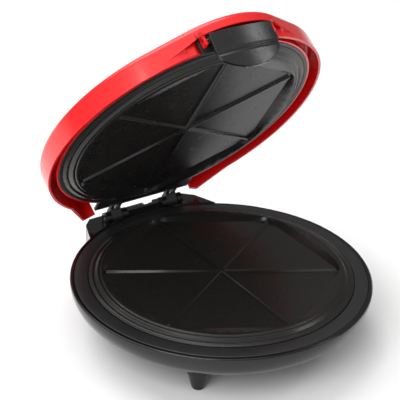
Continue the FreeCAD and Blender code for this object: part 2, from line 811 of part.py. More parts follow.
def make_clamps(label, top, sign, carrier):
    """Three straps, each a channel across the ring that stands on the plate."""
    body = new_body(label)
    level = element_level(top, sign)
    reach = "element_tube + strap_play"
    far = "%s - (%d) * (%s + strap)" % (level, sign, reach)
    near = "(%s) - (%d) * plate_underside" % (top, sign)
    inside = "%s - (%d) * (%s)" % (level, sign, reach)
    for index, turn in enumerate(TOWERS):
        sketch_turn = turn
        low, high = "element_radius - (%s) - strap" % reach, "element_radius + (%s) + strap" % reach
        loops = []
        for r0, r1, h0, h1 in ((low, high, far, inside), (low, low + " + strap", inside, near),
                               (high + " - strap", high, inside, near)):
            corners = []
            for r, w in ((r0, "-1"), (r1, "-1"), (r1, "1"), (r0, "1")):
                along = "(%s)" % r
                across = "(%s) * strap_width / 2" % w
                corners.append(("%s * cos(%g) - %s * sin(%g)" % (along, sketch_turn, across, sketch_turn),
                                "%s * sin(%g) + %s * cos(%g)" % (along, sketch_turn, across, sketch_turn)))
            ends = (h0, h1) if sign > 0 else (h1, h0)
            loops.append((corners, ends))
        for number, (corners, ends) in enumerate(loops):
            padded(body, "strap_%d_%d" % (index, number), "XY_Plane", ends[0], ends[1], [corners])
    finish(label, body, carrier)


def make_plate_screws(label, head_level, tip_level, head_first, carrier):
    """Three long screws. The head lies beyond head_level, on the side named by head_first."""
    screws = []
    for turn in TOWERS:
        x, y = at("tower_circle", turn)
        if head_first == "below":
            screws += [cylinder("screw_radius", "(%s) - (%s)" % (tip_level, head_level), x, y, head_level),
                       cylinder("head_radius", "head_height", x, y, "(%s) - head_height" % head_level)]
        else:
            screws += [cylinder("screw_radius", "(%s) - (%s)" % (head_level, tip_level), x, y, tip_level),
                       cylinder("head_radius", "head_height", x, y, head_level)]
    finish(label, gathered(*[fused(*screws[i:i + 2]) for i in (0, 2, 4)]), carrier)


def make_foot(name, sx, sy):
    x, y = "%d * foot_offset" % sx, "%d * foot_offset" % sy
    tip = "-plate_height + pad_thickness - pad_recess"
    cone = doc.addObject("Part::Cone", "cone")
    bind(cone, "Radius1", "foot_tip_radius")
    bind(cone, "Radius2", "foot_top_radius")
    bind(cone, "Height", "-foot_seat_drop - (%s)" % tip)
    for axis, text in (("x", x), ("y", y), ("z", tip)):
        bind(cone, "Placement.Base." + axis, text)
    peg = cylinder("peg_radius", "peg_height + 1", x, y, "-foot_seat_drop - 1")
    recess = cylinder("pad_radius", "pad_recess + 1", x, y, tip + " - 1")
    finish("foot_" + name, cut_from(fused(cone, peg), recess), "base")
    finish("foot_pad_" + name, cylinder("pad_radius", "pad_thickness", x, y, "-plate_height"), "base")


def make_fuse(label, level, sign, carrier):
    """A small cut-out on a saddle; level is the face it stands on and sign is +1 above that face."""
    centre = "(%s) + (%d) * fuse_radius" % (level, sign)
    can = cylinder("fuse_radius", "fuse_length", "-fuse_length / 2", "fuse_y", centre, along="X")
    saddle = block("-fuse_saddle / 2", "fuse_y - fuse_radius", level if sign > 0 else centre,
                   "fuse_saddle", "2 * fuse_radius", "fuse_radius")
    finish(label, fused(can, saddle), carrier)


def make_base_internals():
    finish("lower_thermostat", cylinder("thermostat_radius", "thermostat_height",
                                        low="-plate_underside - thermostat_height"), "base")
    make_fuse("lower_thermal_fuse", "-plate_underside", -1, "base")
    floor = "-bowl_depth + housing_wall"
    finish("terminal_block", block("-terminal_width / 2", "terminal_y", floor, "terminal_width",
                                   "terminal_depth", "terminal_height"), "base")
    middle = floor + " + terminal_height / 2"
    leads = []
    for side in (-1, 1):
        tip = cold_end_spot(side, "0", 1)
        leads.append(run([tip, (tip[0], tip[1], middle),
                          ("%d * (terminal_width / 2 + wire_radius)" % side, "terminal_y + terminal_depth / 2",
                           middle)], "wire_radius"))
        x = "%d * (wire_radius + 0.3)" % side
        leads.append(run([(x, "terminal_y + terminal_depth + wire_radius", middle),
                          (x, "terminal_y + terminal_depth + 24", middle + " + 4"),
                          (x, "rim_inner_radius - 16", "-gland_drop"),
                          (x, "block_back_y + gland_proud - gland_length - 0.4", "-gland_drop")],
                         "wire_radius"))
    finish("base_wiring", gathered(*leads), "base")
    bush = cylinder("gland_radius", "gland_length", "0", "block_back_y + gland_proud", "-gland_drop", "-Y")
    flange = cylinder("gland_flange", "gland_proud", "0", "block_back_y + gland_proud", "-gland_drop", "-Y")
    hole = cylinder("gland_bore_radius", "gland_length + 2", "0", "block_back_y + gland_proud + 1",
                    "-gland_drop", "-Y")
    finish("cord_inlet", cut_from(fused(bush, flange), hole), "base")


def make_hinge_pins():
    for name, side in SIDES:
        low = "arm_inner_x - arm_play - lug_width + 0.3"
        length = "arm_width + 2 * arm_play + 2 * lug_width"
        start = low if side > 0 else "-(%s) - (%s)" % (low, length)
        finish("hinge_pin_" + name, cylinder("pin_radius", length, start, "hinge_y", HINGE_Z, "X"), "base")


# Lid

NOSE_Y = "(nose_reach - nose_radius)"
NOSE_COS = "((lid_radius - nose_radius) / %s)" % NOSE_Y
NOSE_SIN = "sqrt(1 - %s^2)" % NOSE_COS
DOME_DROP = "(dome_lift - lid_shoulder_lift)"
DOME_RADIUS = "(((lid_radius - brow_width)^2 + %s^2) / (2 * %s))" % (DOME_DROP, DOME_DROP)


def lid_plan(inset):
    """Outline of the lid: a round body, a nose at the front and two ears at the back."""
    body_radius = "(lid_radius - %s)" % inset
    nose = "(nose_radius - %s)" % inset
    side = ("%s * %s" % (body_radius, NOSE_SIN), "-%s * %s" % (body_radius, NOSE_COS))
    tip = ("%s * %s" % (nose, NOSE_SIN), "-%s - %s * %s" % (NOSE_Y, nose, NOSE_COS))
    root_x = "(ear_root_x - 0.7 * %s)" % inset
    root_y = "sqrt(%s^2 - %s^2)" % (body_radius, root_x)
    ear = ("(ear_tip_x - 0.28 * %s)" % inset, "ear_tip_y - 1.36 * %s" % inset)
    back = ("(ear_inner_x + 0.29 * %s)" % inset, "lid_back_y - %s" % inset)
    return [(side[0], side[1], body_radius), (root_x, root_y), ear, back,
            ("-" + back[0], back[1]), ("-" + ear[0], ear[1]), ("-" + root_x, root_y, body_radius),
            ("-" + side[0], side[1]), ("-" + tip[0], tip[1], nose), tip]


def lid_block(name, inset, low):
    """The lid as a solid, inset from its outer faces, from level low up to its flat brow and dome."""
    body = new_body(name)
    top = "dome_lift - " + inset
    radius = "(%s - %s)" % (DOME_RADIUS, inset)
    far = "(nose_reach + 8)"
    brow = "(lid_shoulder_lift - %s)" % inset
    foot = "sqrt(%s^2 - (%s - %s)^2)" % (radius, radius, DOME_DROP)
    padded(body, "plan", "XY_Plane", low, top + " + 1", [lid_plan(inset)])
    turned(body, "dome", [[(far, brow), (foot, brow, radius), ("0", top), ("0", top + " + 3"),
                           (far, top + " + 3")]], cut=True)
    rounded(body, "shoulder", lambda edge: edge.BoundBox.ZMin > 12 and not edge.isClosed(),
            "shoulder_round - " + inset)
    return body


def prism(name, role, low, high, loops):
    """A body with just one padded outline, used as a tool."""
    body = new_body(name)
    padded(body, "outline", role, low, high, loops)
    return body


def ring(name, section):
    body = new_body(name)
    turned(body, "turn", [section])
    return body


def make_lid_shell():
    outer = lid_block("lid_outer", "0", "lid_rim_lift")
    inner = lid_block("lid_inner", "lid_wall", "lid_rim_lift - 4")
    shell = cut_from(outer, inner)
    under = "dome_lift - lid_wall - %s + sqrt(%s^2 - %s^2)"
    hood_wall = ring("hood_wall", ring_loop(
        "lid_radius - lid_wall - hood_wall_step", "lid_radius - hood_wall_step", "lid_rim_lift + hood_wall_step",
        "lid_shoulder_lift - lid_wall / 2"))
    front = prism("front_half", "XY_Plane", "0", "dome_lift",
                  [box_loop("-lid_radius", "lid_radius", "-nose_reach", "-lid_radius * %s + 4" % NOSE_COS)])
    middle = lid_block("lid_middle", "(lid_wall / 2)", "0")
    sector = common("hood_sector", common("hood_front", hood_wall, front), middle)
    ends = prism("hood_ends", "XY_Plane", "lid_rim_lift + hood_wall_step", "dome_lift", [
        box_loop("-hood_end_x - 12", "-hood_end_x", "-nose_reach", "-nose_radius"),
        box_loop("hood_end_x", "hood_end_x + 12", "-nose_reach", "-nose_radius")])
    bore = cylinder("lid_radius - lid_wall / 2", "dome_lift + 4", low="-2")
    ends = cut_from(common("hood_end_blocks", ends, middle), bore)
    skirt_top = under % (DOME_RADIUS, DOME_RADIUS, "skirt_radius") + " + lid_wall / 2"
    skirt = ring("skirt", ring_loop("skirt_radius - skirt_wall", "skirt_radius", "skirt_lift", skirt_top))
    arch = prism("arch", "XZ_Plane", "nose_radius", "nose_reach + 2", [[
        ("-arch_foot_x - 2", "0"), ("arch_foot_x + 2", "0"), ("arch_foot_x", "arch_foot_lift"),
        ("arch_top_x", "arch_top_lift"), ("-arch_top_x", "arch_top_lift"), ("-arch_foot_x", "arch_foot_lift")]])
    core = cylinder("lid_radius + 0.3", "dome_lift", low="-2")
    gap = prism("hood_gap", "XY_Plane", "0", "hood_gap_lift",
                [box_loop("-hood_gap_x", "hood_gap_x", "-lid_radius - 0.5", "-skirt_radius - 1.5")])
    half = "ear_inner_x - 0.5"
    rear = prism("rear_opening", "XY_Plane", "0", "rear_opening_lift",
                 [box_loop("-" + half.replace("-", "+"), half, "lid_back_y - 26", "lid_back_y + 8")])
    shell = cut_from(fused(shell, sector, ends, skirt), cut_from(arch, core), gap, rear)
    cheeks = []
    for name, side in SIDES:
        start = "cheek_inner_x" if side > 0 else "-cheek_inner_x - cheek_thickness"
        cheek = new_body("cheek_" + name)
        back = "-bracket_y - bracket_thickness"
        padded(cheek, "plate", "YZ_Plane", start, start + " + cheek_thickness", [[
            ("-cheek_front_y", "cheek_bottom_lift"), (back, "cheek_bottom_lift"), (back, "cheek_top_lift"),
            ("-cheek_front_y + shoulder_round / 2", "cheek_top_lift"),
            ("-cheek_front_y", "cheek_top_lift - shoulder_round / 2")]])
        cheeks.append(cheek)
    towers = []
    for name, side in SIDES:
        x = "%d * shell_tower_x" % side
        low = "frame_lift + frame_plate"
        towers.append(cylinder("shell_tower_radius", "cheek_top_lift + 1.5 - (%s)" % low, x, "shell_tower_y", low))
    bores = [cylinder("screw_radius + press_play", "arm_screw_length - 4", "%d * shell_tower_x" % side,
                      "shell_tower_y", "frame_lift + frame_plate - 1") for _, side in SIDES]
    for x_sign in (-1, 1):
        bores.append(cylinder("lens_radius + lens_play", "dome_lift", "%d * lamp_x" % x_sign, "lamp_y",
                              "rear_opening_lift"))
    bores.append(cylinder("latch_pin_radius + press_play", "2 * (cheek_inner_x + cheek_thickness) + 2",
                          "-cheek_inner_x - cheek_thickness - 1", "-latch_pivot_y", "latch_pivot_lift", "X"))
    finish("lid_shell", cut_from(fused(shell, *(cheeks + towers)), *bores), "lid")


def make_lid_frame():
    body = new_body("lid_frame")
    inner = "plate_radius + frame_play"
    outer = "frame_radius"
    seat = "closed_gap + flange_underside"
    turned(body, "ring", [[
        (inner, "frame_lift"), (outer, "frame_lift"), (outer, "frame_lift + frame_depth"),
        ("plate_radius - frame_ledge", "frame_lift + frame_depth"), ("plate_radius - frame_ledge", seat),
        (inner, seat)]])
    side_y = "sqrt((%s)^2 - frame_back_x^2)" % inner
    padded(body, "rear", "XY_Plane", "frame_lift", "frame_lift + frame_plate", [[
        ("frame_back_x", side_y), ("frame_back_x", "frame_back_y"), ("-frame_back_x", "frame_back_y"),
        ("-frame_back_x", side_y, "-(%s)" % inner)]])
    holes = [("%d * shell_tower_x" % side, "shell_tower_y", "screw_radius + screw_play") for _, side in SIDES]
    pocketed(body, "screw_holes", "XY_Plane", "frame_lift - 1", "frame_lift + frame_plate + 1", circles=holes)
    finish("lid_frame", body, "lid")


def make_hinge_arms():
    top = "frame_lift"
    low = "frame_lift - arm_plate"
    for name, side in SIDES:
        start = "arm_inner_x" if side > 0 else "-arm_inner_x - arm_width"
        body = new_body("hinge_arm_" + name)
        padded(body, "arm", "YZ_Plane", start, start + " + arm_width", [[
            ("arm_front_y", low), ("frame_back_y - 0.5", low),
            ("hinge_y - knuckle_radius", HINGE_Z, "knuckle_radius"),
            ("hinge_y", HINGE_Z + " - knuckle_radius", "knuckle_radius"),
            ("hinge_y + knuckle_radius", HINGE_Z), ("hinge_y + arm_back", top), ("arm_front_y", top)]])
        pocketed(body, "bore", "YZ_Plane", start + " - 1", start + " + arm_width + 1",
                 circles=[("hinge_y", HINGE_Z, "pin_radius + pin_play")])
        pocketed(body, "screw_hole", "XY_Plane", low + " - 1", top + " + 1",
                 circles=[("%d * shell_tower_x" % side, "shell_tower_y", "screw_radius + screw_play")])
        finish("hinge_arm_" + name, body, "lid")
    screws = []
    for _, side in SIDES:
        x = "%d * shell_tower_x" % side
        screws.append(fused(cylinder("screw_radius", "arm_screw_length", x, "shell_tower_y", low),
                            cylinder("head_radius", "head_height", x, "shell_tower_y", low + " - head_height")))
    finish("hinge_arm_screws", gathered(*screws), "lid")


def make_lid_internals():
    roof = "closed_gap + reflector_depth + sheet"
    make_fuse("upper_thermal_fuse", roof, 1, "lid")
    for name, side in (("power", -1), ("ready", 1)):
        x = "%d * lamp_x" % side
        under = "dome_lift - lid_wall - (lamp_x^2 + lamp_y^2) / (2 * %s)" % DOME_RADIUS
        low = "%s - lens_depth + lid_wall" % under
        finish(name + "_light_lens", cylinder("lens_radius", "lens_depth + lens_proud", x, "lamp_y", low), "lid")
        finish(name + "_lamp", cylinder("lamp_radius", "lamp_length", x, "lamp_y", low + " - lamp_length"),
               "lid")
    fuse_z = roof + " + fuse_radius"
    leads = []
    tip = cold_end_spot(-1, "closed_gap", -1)
    above = "(%s) + 3" % tip[2]
    leads.append(run([tip, (tip[0], tip[1], above),
                      ("-fuse_length / 2 - wire_radius - 4", "fuse_y + 12", above),
                      ("-fuse_length / 2 - wire_radius", "fuse_y", fuse_z)], "wire_radius"))
    seat = "frame_lift + frame_depth + wire_radius"
    step = "frame_lift + frame_plate + wire_radius"
    tail = [("plate_radius - frame_ledge + 3", seat), ("frame_back_y - 4.5", seat),
            ("frame_back_y - 1", step)]
    other = cold_end_spot(1, "closed_gap", -1)
    leads.append(run([other, (other[0], other[1], above), ("5", "lamp_y - 4", above)]
                     + [("5", y, z) for y, z in tail], "wire_radius"))
    leads.append(run([("fuse_length / 2 + wire_radius", "fuse_y", fuse_z),
                      ("fuse_length / 2 + wire_radius", "fuse_y + 14", above), ("-5", "lamp_y - 8", above)]
                     + [("-5", y, z) for y, z in tail], "wire_radius"))
    finish("lid_wiring", gathered(*leads), "lid")


# Latch

def make_latch():
    body = new_body("latch_bracket")
    padded(body, "plate", "XZ_Plane", "bracket_y", "bracket_y + bracket_thickness", [box_loop(
        "-hood_gap_x + 1.5", "hood_gap_x - 1.5", "bracket_lift", "hood_gap_lift - 0.5")])
    finish("latch_bracket", body, "lid")
    reach = "cheek_inner_x + cheek_thickness"
    finish("latch_pin", cylinder("latch_pin_radius", "2 * (%s)" % reach, "-%s" % reach.replace(" + ", " - "),
                                 "-latch_pivot_y", "latch_pivot_lift", "X"), "lid")
    make_latch_handle()


def latch_outline():
    """Front outline of the tongue: straight sides, round corners and a flatter round foot."""
    inset = "(latch_half_width - latch_corner_round)"
    far = "(latch_foot_round - latch_corner_round)"
    fall = "sqrt(%s^2 - %s^2)" % (far, inset)
    centre_z = "(latch_foot_round - latch_tip_drop)"
    meet_x = "%s * latch_foot_round / %s" % (inset, far)
    meet_z = "%s - %s * latch_foot_round / %s" % (centre_z, fall, far)
    corner_z = "%s - %s" % (centre_z, fall)
    return [("-latch_half_width", "latch_top_lift"),
            ("-latch_half_width", corner_z, "latch_corner_round"),
            ("-" + meet_x, meet_z, "latch_foot_round"),
            (meet_x, meet_z, "latch_corner_round"),
            ("latch_half_width", corner_z),
            ("latch_half_width", "latch_top_lift")]


def bent_front(half, proud="0"):
    """Depth of the bent front face of the tongue, half a width away from its middle."""
    return "-latch_face_y + latch_bend - sqrt((latch_bend + %s)^2 - (%s)^2)" % (proud, half)


def bent_sheet(name, proud, thickness, low, high):
    """A sheet bent round the rim of the bowl. Its front stands proud of the tongue's face."""
    half = "latch_half_width + 1"
    behind = "(%s - %s)" % (proud, thickness)
    return prism(name, "XY_Plane", low, high, [[
        ("-(%s)" % half, bent_front(half, proud), "latch_bend + " + proud),
        (half, bent_front(half, proud)),
        (half, bent_front(half, behind), "-latch_bend - " + behind),
        ("-(%s)" % half, bent_front(half, behind))]])


def make_latch_handle():
    """A bent tongue that leans in under the rim of the base and swings on a pin."""
    low = "-latch_tip_drop - 1"
    sheets = fused(bent_sheet("latch_sheet", "0", "latch_plate", low, "latch_top_lift + 1"),
                   bent_sheet("latch_lip_sheet", "latch_lip", "latch_plate", low, "-latch_lip_drop"))
    outline = prism("latch_outline", "XZ_Plane", "latch_pivot_y", "latch_face_y + latch_lip + 1",
                    [latch_outline()])
    tongue = common("latch_tongue", sheets, outline)
    half = "latch_half_width - 1"
    web_low = "latch_pivot_lift - latch_boss_radius"
    web = prism("latch_web", "XY_Plane", web_low, web_low + " + latch_web_height", [[
        ("-(%s)" % half, bent_front(half, "-1"), "latch_bend - 1"), (half, bent_front(half, "-1")),
        (half, "-latch_pivot_y"), ("-(%s)" % half, "-latch_pivot_y")]])
    hook = prism("latch_hook", "XY_Plane", "-latch_tip_drop + 1", "-latch_tip_drop + 1 + hook_height", [
        box_loop("-hook_half_width", "hook_half_width", "-latch_face_y + latch_plate / 2",
                 "-latch_face_y + latch_plate + hook_reach")])
    boss = cylinder("latch_boss_radius", "2 * latch_half_width", "-latch_half_width", "-latch_pivot_y",
                    "latch_pivot_lift", "X")
    bore = cylinder("latch_pin_radius + pin_play", "2 * latch_half_width + 2", "-latch_half_width - 1",
                    "-latch_pivot_y", "latch_pivot_lift", "X")
    leaning = gathered(cut_from(fused(tongue, web, hook, boss), bore))
    leaning.Placement = Placement(Vector(), Rotation(Vector(1, 0, 0), value("latch_lean")))
    bind(leaning, "Placement.Rotation.Angle", "latch_lean")
    bind(leaning, "Placement.Base.y",
         "latch_pivot_y * (cos(latch_lean) - 1) + latch_pivot_lift * sin(latch_lean)")
    bind(leaning, "Placement.Base.z",
         "latch_pivot_y * sin(latch_lean) + latch_pivot_lift * (1 - cos(latch_lean))")
    finish("latch_handle", gathered(leaning), "lid")


make_base_housing()
make_base_deck()
make_plate("lower_plate", "0", 1, "base")
make_element("lower_element", "0", 1, "base")
make_reflector("lower_reflector", "0", 1, "base")
make_clamps("lower_element_clamps", "0", 1, "base")
make_plate_screws("lower_plate_screws", "-bowl_depth + head_room", "-plate_underside - 1.5", "below", "base")
make_base_internals()
for foot, sx, sy in FEET:
    make_foot(foot, sx, sy)
make_hinge_pins()

make_lid_shell()
make_lid_frame()
make_hinge_arms()
make_plate("upper_plate", "closed_gap", -1, "lid")
make_element("upper_element", "closed_gap", -1, "lid")
make_reflector("upper_reflector", "closed_gap", -1, "lid")
make_clamps("upper_element_clamps", "closed_gap", -1, "lid")
make_plate_screws("upper_plate_screws", "closed_gap + reflector_depth + sheet",
                  "closed_gap + plate_underside + 1.5", "above", "lid")
make_lid_internals()
make_latch()

doc.recompute()
for item in doc.Objects:
    if "Invalid" in item.State or "Error" in item.State:
        raise RuntimeError("feature %s is in state %s" % (item.Name, item.State))
os.makedirs("parts", exist_ok=True)
for label, item in nodes:
    shape = item.Shape
    if shape.isNull() or not shape.isValid():
        raise RuntimeError("%s has no valid shape" % label)
    shape.exportStep("parts/%s.step" % label)
    print(label, len(shape.Solids), round(shape.Volume))
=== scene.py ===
import json
import math

import bmesh
import bpy
from mathutils import Matrix, Vector


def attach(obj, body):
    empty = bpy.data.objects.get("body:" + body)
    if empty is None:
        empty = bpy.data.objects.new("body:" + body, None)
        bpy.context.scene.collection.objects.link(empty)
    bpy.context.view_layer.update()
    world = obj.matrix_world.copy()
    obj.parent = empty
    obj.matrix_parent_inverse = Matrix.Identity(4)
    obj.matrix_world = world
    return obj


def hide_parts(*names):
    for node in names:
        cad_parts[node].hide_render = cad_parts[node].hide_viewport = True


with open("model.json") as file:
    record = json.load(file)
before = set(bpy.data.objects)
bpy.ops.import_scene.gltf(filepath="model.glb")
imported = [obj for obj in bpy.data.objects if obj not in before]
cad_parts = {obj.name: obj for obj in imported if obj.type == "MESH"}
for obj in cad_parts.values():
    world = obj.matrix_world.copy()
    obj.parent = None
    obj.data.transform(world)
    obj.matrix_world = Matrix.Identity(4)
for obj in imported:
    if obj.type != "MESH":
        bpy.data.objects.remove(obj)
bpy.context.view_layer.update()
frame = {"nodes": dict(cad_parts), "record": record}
scene = bpy.context.scene

MM = 0.001
AXIS_Y = -8.6
RIM_Z = 66.0


# Nodes for materials

class Shader:
    """A material with a Principled shader and short calls for its nodes."""

    def __init__(self, name, color, roughness, **settings):
        self.material = bpy.data.materials.new(name)
        self.material.use_nodes = True
        self.tree = self.material.node_tree
        self.shader = self.tree.nodes["Principled BSDF"]
        self.set(self.shader, "Base Color", (*color, 1))
        self.set(self.shader, "Roughness", roughness)
        for key, number in settings.items():
            self.set(self.shader, key.replace("_", " "), number)
        self.place = self.node("ShaderNodeTexCoord").outputs["Object"]
        self.height = None

    def node(self, kind, **settings):
        made = self.tree.nodes.new(kind)
        for key, number in settings.items():
            setattr(made, key, number)
        return made

    def set(self, node, name, number):
        node.inputs[name].default_value = number

    def link(self, out, into):
        self.tree.links.new(out, into)

    def noise(self, scale, detail=3, stretch=None, distortion=0.0):
        made = self.node("ShaderNodeTexNoise")
        self.set(made, "Scale", scale)
        self.set(made, "Detail", detail)
        self.set(made, "Distortion", distortion)
        place = self.place
        if stretch:
            mapping = self.node("ShaderNodeMapping")
            self.set(mapping, "Scale", stretch)
            self.link(place, mapping.inputs["Vector"])
            place = mapping.outputs["Vector"]
        self.link(place, made.inputs["Vector"])
        return made.outputs["Fac"]

    def spots(self, scale, feature="F1"):
        made = self.node("ShaderNodeTexVoronoi", feature=feature)
        self.set(made, "Scale", scale)
        self.link(self.place, made.inputs["Vector"])
        return made.outputs["Distance"]

    def ramp(self, fac, stops):
        made = self.node("ShaderNodeValToRGB")
        while len(made.color_ramp.elements) < len(stops):
            made.color_ramp.elements.new(0.5)
        for element, (position, color) in zip(made.color_ramp.elements, stops):
            element.position = position
            element.color = (*color, 1) if len(color) == 3 else color
        self.link(fac, made.inputs["Fac"])
        return made.outputs["Color"]

    def grey(self, fac, low, high, start=0.3, end=0.7):
        made = self.node("ShaderNodeMapRange")
        for key, number in (("From Min", start), ("From Max", end), ("To Min", low), ("To Max", high)):
            self.set(made, key, number)
        self.link(fac, made.inputs["Value"])
        return made.outputs["Result"]

    def rough(self, fac, low, high, start=0.3, end=0.7):
        self.link(self.grey(fac, low, high, start, end), self.shader.inputs["Roughness"])

    def color(self, fac, stops):
        self.link(self.ramp(fac, stops), self.shader.inputs["Base Color"])

    def soft_edges(self, radius):
        """Light catches every edge of the piece as if it were broken by this radius."""
        made = self.node("ShaderNodeBevel", samples=8)
        self.set(made, "Radius", radius * 0.001)
        self.height = made.outputs["Normal"]

    def bump(self, fac, strength, distance):
        made = self.node("ShaderNodeBump")
        self.set(made, "Strength", strength)
        self.set(made, "Distance", distance)
        self.link(fac, made.inputs["Height"])
        if self.height:
            self.link(self.height, made.inputs["Normal"])
        self.height = made.outputs["Normal"]
        self.link(self.height, self.shader.inputs["Normal"])


def red_gloss():
    s = Shader("red_gloss", (0.72, 0.008, 0.010), 0.22, Coat_Weight=0.35, Coat_Roughness=0.12, IOR=1.5)
    s.color(s.noise(9, 2), [(0.3, (0.68, 0.006, 0.008)), (0.7, (0.76, 0.010, 0.012))])
    s.rough(s.noise(60, 4), 0.20, 0.26)
    s.soft_edges(0.6)
    s.bump(s.noise(300, 2), 0.01, 0.0001)
    return s.material


def black_gloss():
    s = Shader("black_gloss", (0.006, 0.006, 0.0065), 0.12, Coat_Weight=0.15, Coat_Roughness=0.08, IOR=1.5,
               Specular_IOR_Level=0.35)
    s.color(s.noise(8, 2), [(0.3, (0.005, 0.005, 0.0055)), (0.7, (0.008, 0.008, 0.0085))])
    s.rough(s.noise(50, 4), 0.10, 0.16)
    s.soft_edges(0.7)
    s.bump(s.noise(300, 2), 0.01, 0.0001)
    return s.material


def black_satin(name, color, low, high):
    s = Shader(name, color, low, IOR=1.5)
    shade = [c * 0.8 for c in color]
    light = [c * 1.2 for c in color]
    s.color(s.noise(14, 3), [(0.3, shade), (0.7, light)])
    s.rough(s.noise(120, 4), low, high)
    s.soft_edges(0.7)
    s.bump(s.noise(2600, 2), 0.10, 0.0001)
    return s.material


def nonstick():
    s = Shader("nonstick_coat", (0.012, 0.011, 0.0105), 0.28, IOR=1.5, Specular_IOR_Level=0.35)
    fleck = s.spots(1400)
    s.color(fleck, [(0.0, (0.014, 0.013, 0.0125)), (0.2, (0.012, 0.011, 0.0105)), (1.0, (0.011, 0.0105, 0.010))])
    s.rough(s.noise(60, 3), 0.25, 0.28)
    s.soft_edges(0.9)
    s.bump(s.noise(900, 2), 0.006, 0.0001)
    return s.material


def metal(name, color, low, high, stretch=(1, 1, 1), scale=400):
    s = Shader(name, color, low, Metallic=1.0)
    grain = s.noise(scale, 3, stretch)
    s.color(grain, [(0.3, [c * 0.85 for c in color]), (0.7, color)])
    s.rough(grain, low, high)
    s.bump(grain, 0.06, 0.0002)
    return s.material


def rubber(name, color):
    s = Shader(name, color, 0.75)
    s.color(s.noise(60, 3), [(0.3, [c * 0.7 for c in color]), (0.7, color)])
    s.rough(s.noise(200, 3), 0.65, 0.85)
    s.bump(s.noise(1500, 2), 0.2, 0.0002)
    return s.material


def lens(name, color):
    s = Shader(name, color, 0.08, Transmission_Weight=0.7, IOR=1.49)
    s.rough(s.noise(90, 2), 0.05, 0.12)
    s.bump(s.spots(700), 0.15, 0.0004)
    return s.material


def floor_material():
    s = Shader("pale_floor", (0.9, 0.9, 0.9), 0.55)
    s.color(s.noise(3, 3), [(0.3, (0.89, 0.89, 0.89)), (0.7, (0.91, 0.91, 0.91))])
    s.rough(s.noise(30, 3), 0.5, 0.6)
    return s.material


def paint(obj, material):
    obj.data.materials.clear()
    obj.data.materials.append(material)


MATERIALS = {
    "shell_red": red_gloss(),
    "bowl_black": black_gloss(),
    "deck_black": black_satin("deck_satin", (0.012, 0.012, 0.013), 0.34, 0.42),
    "frame_black": black_satin("frame_satin", (0.012, 0.012, 0.013), 0.34, 0.42),
    "latch_black": black_satin("latch_satin", (0.008, 0.008, 0.009), 0.22, 0.30),
    "inner_black": black_satin("inner_satin", (0.02, 0.02, 0.02), 0.5, 0.6),
    "nonstick": nonstick(),
    "element_steel": metal("element_tube", (0.36, 0.33, 0.30), 0.4, 0.55, scale=250),
    "bright_sheet": metal("bright_sheet", (0.8, 0.8, 0.82), 0.2, 0.34, (1, 14, 14)),
    "zinc_steel": metal("zinc_steel", (0.62, 0.63, 0.65), 0.22, 0.36),
    "lead_sleeve": rubber("lead_sleeve", (0.6, 0.57, 0.5)),
    "pad_rubber": rubber("pad_rubber", (0.02, 0.02, 0.02)),
    "lens_red": lens("lens_red", (0.7, 0.03, 0.02)),
    "lens_green": lens("lens_green", (0.03, 0.5, 0.1)),
    "lamp_body": lens("lamp_body", (0.85, 0.78, 0.7)),
}

slots = {entry["node"]: entry["material_slot"] for entry in frame["record"]["subparts"]}
carriers = {node: body for body, nodes in frame["record"]["behaviour"]["bodies"].items() for node in nodes}
for name, obj in frame["nodes"].items():
    paint(obj, MATERIALS[slots[name]])


# Pieces that stand for a CAD node

def stand_in(node, mesh, suffix):
    """Make an object that takes the place, the carrier and the finish of a CAD node."""
    obj = bpy.data.objects.new(node + suffix, mesh)
    scene.collection.objects.link(obj)
    paint(obj, MATERIALS[slots[node]])
    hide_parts(node)
    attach(obj, carriers[node])
    return obj


def eased(node, radius, steps=2, sharpest=32.0):
    """A copy of a moulded or cast piece whose sharp edges are broken by a small radius."""
    mesh = frame["nodes"][node].data.copy()
    bm = bmesh.new()
    bm.from_mesh(mesh)
    bmesh.ops.remove_doubles(bm, verts=bm.verts, dist=2e-6)
    bmesh.ops.dissolve_limit(bm, angle_limit=math.radians(0.04), verts=bm.verts, edges=bm.edges)
    for face in bm.faces:
        face.smooth = True
    bm.to_mesh(mesh)
    bm.free()
    obj = stand_in(node, mesh, "_eased")
    if not radius:
        mesh.set_sharp_from_angle(angle=math.radians(sharpest))
        obj.modifiers.new("normals", "WEIGHTED_NORMAL").keep_sharp = True
        return obj
    bevel = obj.modifiers.new("edges", "BEVEL")
    bevel.width = radius * MM
    bevel.segments = steps
    bevel.limit_method = "ANGLE"
    bevel.angle_limit = math.radians(sharpest)
    bevel.miter_outer = "MITER_ARC"
    bevel.harden_normals = False
    obj.modifiers.new("normals", "WEIGHTED_NORMAL").keep_sharp = True
    return obj


# Tongue of the latch, drawn with the lid shut and upright, then leaned and opened with the lid

HINGE = Vector((0, 144.6, -1.9))
LID_ANGLE = 55.3
PIVOT = Vector((0, -144.0, 11.0))
LEAN = 12.0
FACE_Y = -154.5
BEND = 150.0
PLATE = 2.2
HALF_WIDTH = 32.6
TOP_Z = 14.2
TIP_Z = -24.2
CORNER_ROUND = 13.0
FOOT_ROUND = 44.0
LIP = 1.2


def opened(point):
    """A point of the shut lid, in millimetres, where the opened lid carries it, in metres."""
    turn = Matrix.Rotation(math.radians(-LID_ANGLE), 3, "X")
    return (turn @ (Vector(point) - HINGE) + HINGE + Vector((0, AXIS_Y, RIM_Z))) * MM


def leaned(point):
    return Matrix.Rotation(math.radians(LEAN), 3, "X") @ (Vector(point) - PIVOT) + PIVOT


